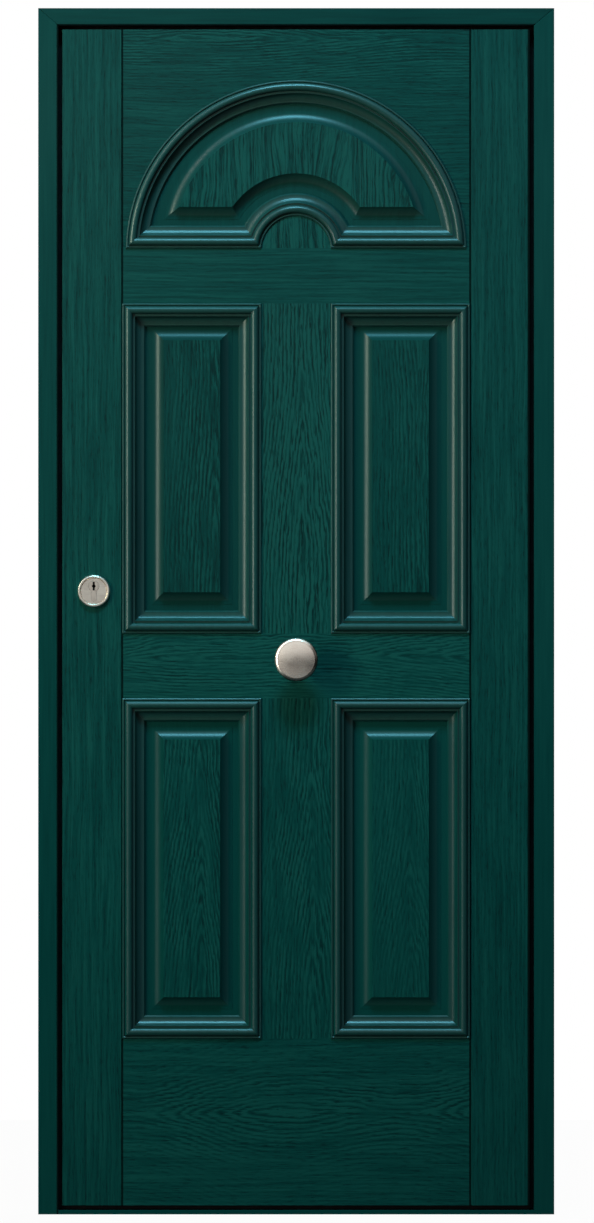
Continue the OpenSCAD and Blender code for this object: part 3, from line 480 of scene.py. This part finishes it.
def scuffed_paint(name):
    """The threshold's paint, rubbed by feet, with the leaf's shadow painted along its top."""
    paint = bpy.context.scene.door_paint
    material, r = new_material(name)
    x, y, z = r.place()
    cloud = r.noise(r.point(x * 5.0, y * 18.0, z * 9.0), 3.0)
    scratch = r.noise(r.point(x * 60.0, y * 700.0, z * 300.0 + 4.0), 2.0, 0.7)
    worn = (scratch.step(0.55, 0.75) * 0.6 + cloud.step(0.5, 0.8) * 0.5).limit()
    # Shadow of the leaf painted on the top of the threshold
    body = r.tint(z.step(*THRESHOLD_SHADOW), opaque(paint.sill), PAINTED_SHADE)
    colour = r.tint(worn * 0.1, body, opaque(paint.painted_light_and_wear))
    rough = (0.42 + worn * 0.25 + (cloud - 0.5) * 0.1).limit(0.2, 0.9)
    r.surface({"Base Color": colour, "Roughness": rough, "Normal": r.relief(scratch, 0.0002)},
              {"Specular IOR Level": 0.0})
    return material


def satin_metal(name, colour, rough, brush, seed, hollow=None, axis=None):
    """Brushed metal with faint clouding; brush is how much finer the marks are along X, Y and Z.

    Behind hollow, shade is painted into the keyway, dark and dull. Round a turning axis at that height,
    shade and a dark reflection are painted on the lower right of the rim, and the middle lies even.
    """
    material, r = new_material(name)
    x, y, z = r.place()
    marks = r.noise(r.point(x * brush[0], y * brush[1], z * brush[2] + seed), 2.0, 0.6)
    cloud = r.noise(r.point(x * 38.0, y * 38.0 + seed, z * 38.0), 3.0)
    deep = tuple(c * 0.80 for c in colour)
    pale = tuple(min(1.0, c * 1.12) for c in colour)
    tone = ((marks - 0.5) * 0.9 + (cloud - 0.5) * 0.7 + 0.5).limit()
    tinted = r.tint(tone, opaque(deep), opaque(pale))
    gloss = (rough + (marks - 0.5) * 0.10 + (cloud - 0.5) * 0.12).limit(0.12, 0.7)
    bare = 1.0
    if hollow is not None:
        # Shade painted into the keyway: dark and dull behind its mouth
        bare = y.step(hollow + KEYWAY_FADE, hollow)
        tinted = r.tint(bare, PAINTED_SHADE, tinted)
        gloss = gloss * bare + (1.0 - bare) * 0.8
    bumps = {"Strength": 1.0, "Distance": 0.00002, "Height": marks}
    if axis is not None:
        reach = (x ** 2.0 + (z - axis) ** 2.0).root()
        # Shade and a dark reflection painted on the lower right of the knob's rim
        rim_shade = reach.step(*KNOB_RIM) * (x - z + axis).step(*KNOB_SHADE_SIDE)
        tinted = r.tint(rim_shade * 0.8, tinted, PAINTED_SHADE)
        middle = reach.step(*KNOB_MIDDLE)
        shape = r.node("ShaderNodeNewGeometry", {}, {}, "Normal")
        bumps["Normal"] = r.node("ShaderNodeMix", {"data_type": "VECTOR"},
                                 {0: middle, 4: shape, 5: shape.also("True Normal")}, 1)
    normal = r.node("ShaderNodeBump", {}, bumps)
    r.surface({"Base Color": tinted, "Roughness": gloss, "Metallic": bare, "Normal": normal},
              {"Specular IOR Level": 0.1})
    return material


def seal_rubber(name):
    """Black extruded rubber with a dusty bloom."""
    metal = bpy.context.scene.door_metal
    material, r = new_material(name)
    x, y, z = r.place()
    bloom = r.noise(r.point(x * 55.0, y * 55.0, z * 55.0), 3.0)
    fine = r.noise(r.point(x * 900.0, y * 900.0, z * 900.0), 1.0)
    colour = r.tint(bloom.step(0.45, 0.8) * 0.45, opaque(metal.rubber), (0.012, 0.0125, 0.013, 1.0))
    rough = (0.62 + (bloom - 0.5) * 0.25).limit(0.4, 0.9)
    r.surface({"Base Color": colour, "Roughness": rough, "Normal": r.relief(fine, 0.00005)},
              {"Specular IOR Level": 0.08})
    return material


def dress(names, material):
    """Gives CAD nodes a finish."""
    for name in names:
        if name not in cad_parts:
            raise RuntimeError(f"the packed model has no piece named {name}")
        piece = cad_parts[name]
        if not piece.material_slots:
            piece.data.materials.append(material)
        for slot in piece.material_slots:
            slot.material = material


def deselect():
    """Nothing is selected, and object mode is on."""
    if bpy.context.mode != "OBJECT":
        bpy.ops.object.mode_set(mode="OBJECT")
    bpy.ops.object.select_all(action="DESELECT")


class DOOR_OT_frame(bpy.types.Operator):
    """Paint the jambs and the head"""
    bl_idname = "door.frame"
    bl_label = "Frame"

    def execute(self, context):
        # The left jamb and the head get shade painted along their edges at the gap
        dress(("jamb_left",), smooth_paint("jamb_left_paint", 3.0, "Z", gap_shade=JAMB_SHADE))
        dress(("jamb_right",), smooth_paint("jamb_right_paint", 5.0, "Z", -0.16))
        dress(("head",), smooth_paint("head_paint", 7.0, "X", 0.22, gap_shade=HEAD_SHADE))
        return {"FINISHED"}


class DOOR_OT_threshold(bpy.types.Operator):
    """Paint the threshold"""
    bl_idname = "door.threshold"
    bl_label = "Threshold"

    def execute(self, context):
        dress(("threshold",), scuffed_paint("threshold_paint"))
        return {"FINISHED"}


class DOOR_OT_members(bpy.types.Operator):
    """Paint the stiles, rails, muntins and hub, each with its own grain"""
    bl_idname = "door.members"
    bl_label = "Stiles, Rails and Muntins"

    def execute(self, context):
        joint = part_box("stile_hinge")[0].x
        for name in STILES + RAILS:
            dress((name,), grained_paint(name + "_paint", joint=joint, **CUTS[name]))
        for name in MUNTINS:
            dress((name,), grained_paint(name + "_paint", **CUTS[name]))
        return {"FINISHED"}


class DOOR_OT_panels(bpy.types.Operator):
    """Paint the raised panels, each with its own figure"""
    bl_idname = "door.panels"
    bl_label = "Panels"

    def execute(self, context):
        for name in PANELS:
            dress((name,), grained_paint(name + "_paint", raised=True, **CUTS[name]))
        return {"FINISHED"}


class DOOR_OT_mouldings(bpy.types.Operator):
    """Paint the outside mouldings and the inside beads"""
    bl_idname = "door.mouldings"
    bl_label = "Mouldings and Beads"

    def execute(self, context):
        shine = context.scene.door_paint.shine
        # The mouldings get shade painted on their slopes that face down and right
        dress(MOULDINGS, smooth_paint("moulding_paint", 11.0, "Z", 0.06, shine, slope_shade=0.75))
        dress(BEADS, smooth_paint("bead_paint", 13.0, "Z", 0.0, shine * 0.5))
        return {"FINISHED"}


class DOOR_OT_seals(bpy.types.Operator):
    """Finish the rubber seals"""
    bl_idname = "door.seals"
    bl_label = "Seals"

    def execute(self, context):
        dress(("perimeter_seal", "bottom_seal"), seal_rubber("seal_rubber"))
        return {"FINISHED"}


class DOOR_OT_hinges(bpy.types.Operator):
    """Finish the hinges and their screws"""
    bl_idname = "door.hinges"
    bl_label = "Hinges"

    def execute(self, context):
        steel = context.scene.door_metal.steel
        dress(HINGE_FLAPS, satin_metal("hinge_steel", steel, 0.34, (900, 900, 30), 2.0))
        dress(("hinge_pins", "hinge_jamb_screws", "hinge_leaf_screws"),
              satin_metal("pin_steel", steel, 0.28, (500, 500, 500), 5.0))
        return {"FINISHED"}


class DOOR_OT_lock(bpy.types.Operator):
    """Finish the lock, its bolts and its strike plate"""
    bl_idname = "door.lock"
    bl_label = "Lock"

    def execute(self, context):
        steel = context.scene.door_metal.steel
        dress(("lock_case", "lever_follower", "lever_spindle", "knob_bolt"),
              satin_metal("case_steel", tuple(c * 0.8 for c in steel), 0.42, (300, 300, 300), 1.0))
        dress(("lock_faceplate", "strike_plate", "faceplate_screws", "strike_screws"),
              satin_metal("plate_steel", steel, 0.30, (900, 900, 25), 3.0))
        bright = tuple(min(1.0, c * 1.1) for c in steel)
        dress(("latch_bolt", "dead_bolt"),
              satin_metal("bolt_steel", bright, 0.26, (25, 700, 700), 4.0))
        return {"FINISHED"}


class DOOR_OT_lever(bpy.types.Operator):
    """Finish the lever, the thumb turn and the plates inside"""
    bl_idname = "door.lever"
    bl_label = "Lever and Thumb Turn"

    def execute(self, context):
        nickel = context.scene.door_metal.nickel
        dress(("lever_handle", "lever_rose", "thumb_turn", "inner_escutcheon"),
              satin_metal("lever_nickel", nickel, 0.30, (40, 500, 700), 6.0))
        return {"FINISHED"}


class DOOR_OT_escutcheon(bpy.types.Operator):
    """Finish the escutcheon and the lock cylinder"""
    bl_idname = "door.escutcheon"
    bl_label = "Escutcheon"

    def execute(self, context):
        nickel = context.scene.door_metal.nickel
        dress(("escutcheon_ring", "escutcheon_disc"),
              satin_metal("escutcheon_nickel", nickel, 0.34, (60, 500, 900), 8.0))
        dull = tuple(c * 0.94 for c in nickel)
        dress(("cylinder_body",), satin_metal("cylinder_nickel", dull, 0.32, (700, 300, 60), 9.0))
        dress(("cylinder_plug",), satin_metal("plug_nickel", dull, 0.32, (700, 300, 60), 9.0,
                                              hollow=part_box("cylinder_plug")[0].y + KEYWAY_START))
        return {"FINISHED"}


class DOOR_OT_knob(bpy.types.Operator):
    """Finish the knob"""
    bl_idname = "door.knob"
    bl_label = "Knob"

    def execute(self, context):
        nickel = context.scene.door_metal.nickel
        low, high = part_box("knob_head")
        dress(("knob_rose", "knob_stem", "knob_head"),
              satin_metal("knob_nickel", nickel, 0.27, (60, 600, 900), 10.0, axis=(low.z + high.z) / 2))
        return {"FINISHED"}


class DOOR_OT_stage(bpy.types.Operator):
    """Set up the floor, the lamps, the surroundings and the camera"""
    bl_idname = "door.stage"
    bl_label = "Stage"

    def execute(self, context):
        stage = context.scene.door_stage
        self.floor(stage)
        self.surroundings(context.scene)
        middle = Vector((0.0, 0.0, (LOW.z + HIGH.z) / 2))
        for name, (place, raised, size, colour) in LAMPS.items():
            aim = middle + Vector((0.0, 0.0, raised))
            self.lamp(name + "_lamp", place, aim, size, getattr(stage, name), colour)
        self.camera(context.scene, stage)
        return {"FINISHED"}

    def floor(self, stage):
        """A floor that is close to white to the camera, with a trace of shadow, and dim to gloss."""
        deselect()
        bpy.ops.mesh.primitive_plane_add(size=FLOOR_SIDE, location=(0.0, 0.0, LOW.z - FLOOR_GAP))
        floor = bpy.context.object
        floor.name = "floor"
        material, r = new_material("floor_paint")
        x, y, z = r.place()
        cloud = r.noise(r.point(x * 0.8, y * 0.8, z), 2.0)
        pale = r.tint(cloud, opaque(stage.floor), opaque(tuple(min(1.0, c * 1.04) for c in stage.floor)))
        board = r.node("ShaderNodeBsdfPrincipled", {}, {"Base Color": pale, "Roughness": 0.7})
        white = r.node("ShaderNodeEmission", {}, {"Color": (1, 1, 1, 1), "Strength": 1.0})
        path = r.node("ShaderNodeLightPath", {}, {}, "Is Camera Ray")
        seen = (path + path.also("Is Transmission Ray")) * 0.97 + path.also("Is Glossy Ray") * 0.02
        mixed = r.node("ShaderNodeMixShader", {}, {0: seen, 1: board, 2: white})
        r.node("ShaderNodeOutputMaterial", {}, {"Surface": mixed})
        floor.data.materials.append(material)

    def surroundings(self, scene):
        """White to the camera, dimmer to gloss that looks to the front, and a faint light to the rest."""
        world = bpy.data.worlds.new("studio")
        scene.world = world
        world.use_nodes = True
        r = Recipe(world.node_tree)
        way = r.node("ShaderNodeTexCoord", {}, {}, "Generated")
        x = r.node("ShaderNodeSeparateXYZ", {}, {0: way}, "X")
        y, z = x.also("Y"), x.also("Z")
        path = r.node("ShaderNodeLightPath", {}, {}, "Is Camera Ray")
        glossy = path.also("Is Glossy Ray")
        seen = (path + path.also("Is Transmission Ray") + glossy).limit()
        room = 0.06 + z.step(-0.05, 0.23) * 0.72 + z.step(-0.11, -0.24) * 0.20
        room = (room + x.step(0.0, -0.7) * 0.2 - x.step(0.05, 0.7) * 0.25).limit(0.02)
        behind = y.step(0.0, 0.5)
        shade = 1.0 - glossy * (1.0 - behind) * (1.0 - room)
        strength = seen * shade + (1.0 - seen) * AMBIENT
        back = r.node("ShaderNodeBackground", {}, {"Color": (1, 1, 1, 1), "Strength": strength})
        r.node("ShaderNodeOutputWorld", {}, {"Surface": back})

    def lamp(self, name, place, aim, size, power, colour):
        """A soft rectangular lamp."""
        deselect()
        bpy.ops.object.light_add(type="AREA", location=place)
        lamp = bpy.context.object
        lamp.name = name
        lamp.rotation_euler = (Vector(aim) - Vector(place)).to_track_quat("-Z", "Y").to_euler()
        lamp.data.shape = "RECTANGLE"
        lamp.data.size, lamp.data.size_y = size
        lamp.data.energy = power
        lamp.data.color = colour

    def camera(self, scene, stage):
        """A long lens, square to the face of the door."""
        deselect()
        bpy.ops.object.camera_add(location=(stage.side, LOW_FACE - stage.distance, stage.height),
                                  rotation=(math.pi / 2, 0.0, 0.0))
        camera = bpy.context.object
        camera.name = "camera"
        camera.data.sensor_width = SENSOR
        camera.data.lens = SENSOR * stage.distance / stage.reach
        camera.data.clip_end = 200.0
        scene.camera = camera
        scene.view_settings.view_transform = "Standard"


STEPS = ("frame", "threshold", "members", "panels", "mouldings", "seals", "hinges", "lock", "lever",
         "escutcheon", "knob", "stage")


class VIEW3D_PT_door(bpy.types.Panel):
    """Sizes, colours and steps of the door"""
    bl_label = "Panelled Door"
    bl_space_type = "VIEW_3D"
    bl_region_type = "UI"
    bl_category = "Door"

    def draw(self, context):
        for group in (context.scene.door_paint, context.scene.door_grain, context.scene.door_metal,
                      context.scene.door_stage):
            column = self.layout.box().column()
            for key in group.bl_rna.properties.keys():
                if key not in ("rna_type", "name"):
                    column.prop(group, key)
        for step in STEPS:
            self.layout.operator("door." + step)


CLASSES = (DoorPaint, DoorGrain, DoorMetal, DoorStage, DOOR_OT_frame, DOOR_OT_threshold, DOOR_OT_members,
           DOOR_OT_panels, DOOR_OT_mouldings, DOOR_OT_seals, DOOR_OT_hinges, DOOR_OT_lock, DOOR_OT_lever,
           DOOR_OT_escutcheon, DOOR_OT_knob, DOOR_OT_stage, VIEW3D_PT_door)


def register():
    """Adds the classes and the settings."""
    for item in CLASSES:
        bpy.utils.register_class(item)
    bpy.types.Scene.door_paint = PointerProperty(type=DoorPaint)
    bpy.types.Scene.door_grain = PointerProperty(type=DoorGrain)
    bpy.types.Scene.door_metal = PointerProperty(type=DoorMetal)
    bpy.types.Scene.door_stage = PointerProperty(type=DoorStage)


def unregister():
    """Takes the settings and the classes away."""
    del bpy.types.Scene.door_stage
    del bpy.types.Scene.door_metal
    del bpy.types.Scene.door_grain
    del bpy.types.Scene.door_paint
    for item in reversed(CLASSES):
        bpy.utils.unregister_class(item)


def main():
    """Dresses the door step by step."""
    register()
    for step in STEPS:
        getattr(bpy.ops.door, step)()


if __name__ == "__main__":
    main()
